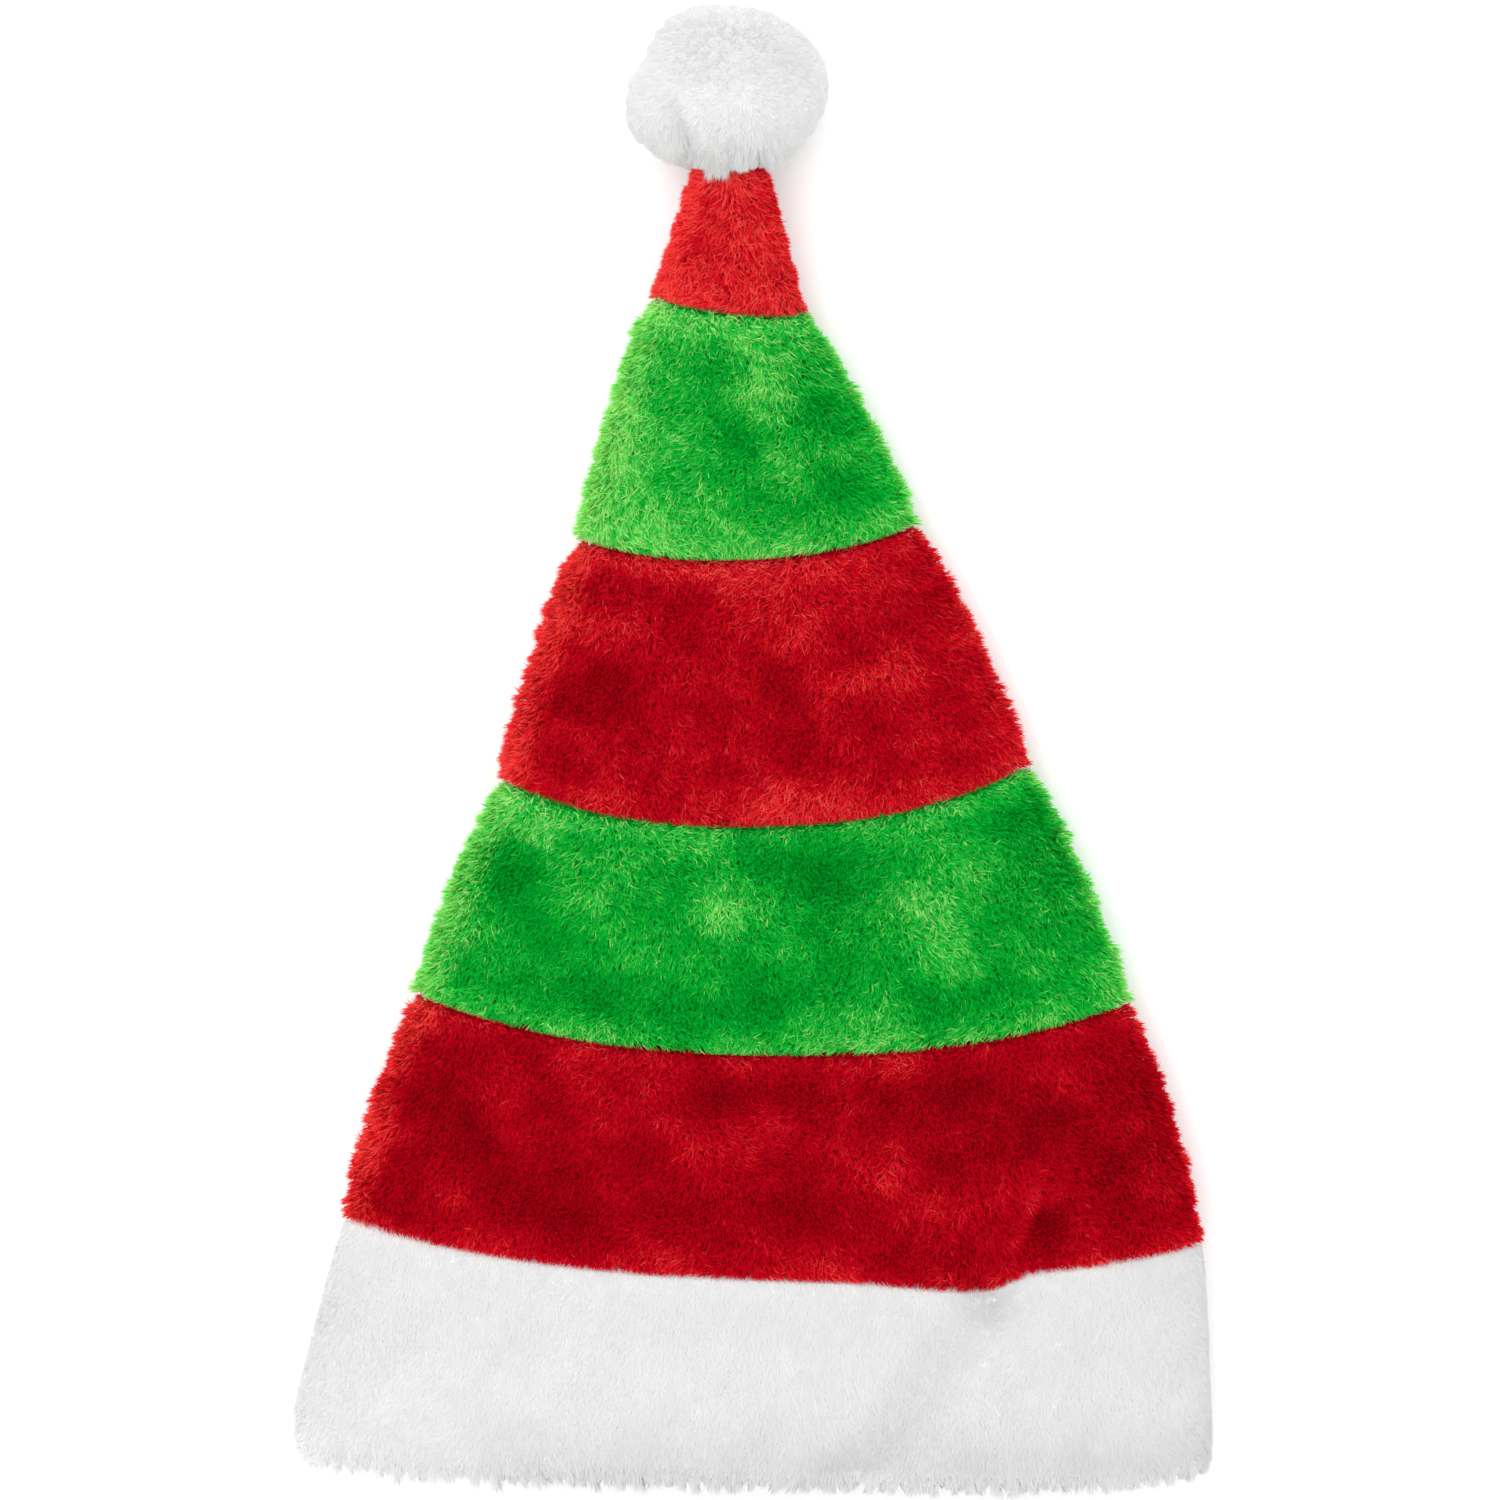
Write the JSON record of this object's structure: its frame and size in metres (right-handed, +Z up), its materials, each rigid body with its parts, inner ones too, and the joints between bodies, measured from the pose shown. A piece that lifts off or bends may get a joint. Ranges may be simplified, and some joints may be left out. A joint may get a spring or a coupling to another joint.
{
  "type": "santa hat",
  "caption": "Pointed plush hat in red and green stripes with a folded white cuff and a white pompom, lying flat; its open mouth takes a head.",
  "frame": {"origin": "on the table under the middle of the hat, halfway along its length and across its cuff", "axes": "+Y along the hat from the mouth to the pompom, +Z up from the table, +X to the right as seen from above with the pompom away from the viewer"},
  "size_m": [0.2892, 0.468, 0.0513],
  "materials": {
    "red_plush": "deep red cut-pile plush, soft sheen at the pile's tips",
    "green_plush": "bright green cut-pile plush, soft sheen at the pile's tips",
    "white_plush": "white long-pile plush, matt"
  },
  "bodies": {
    "root": {"cuff": "white_plush", "red_low_stripe": "red_plush", "green_low_stripe": "green_plush", "red_mid_stripe": "red_plush", "green_high_stripe": "green_plush", "red_tip": "red_plush", "pompom": "white_plush"}
  },
  "joints": []
}
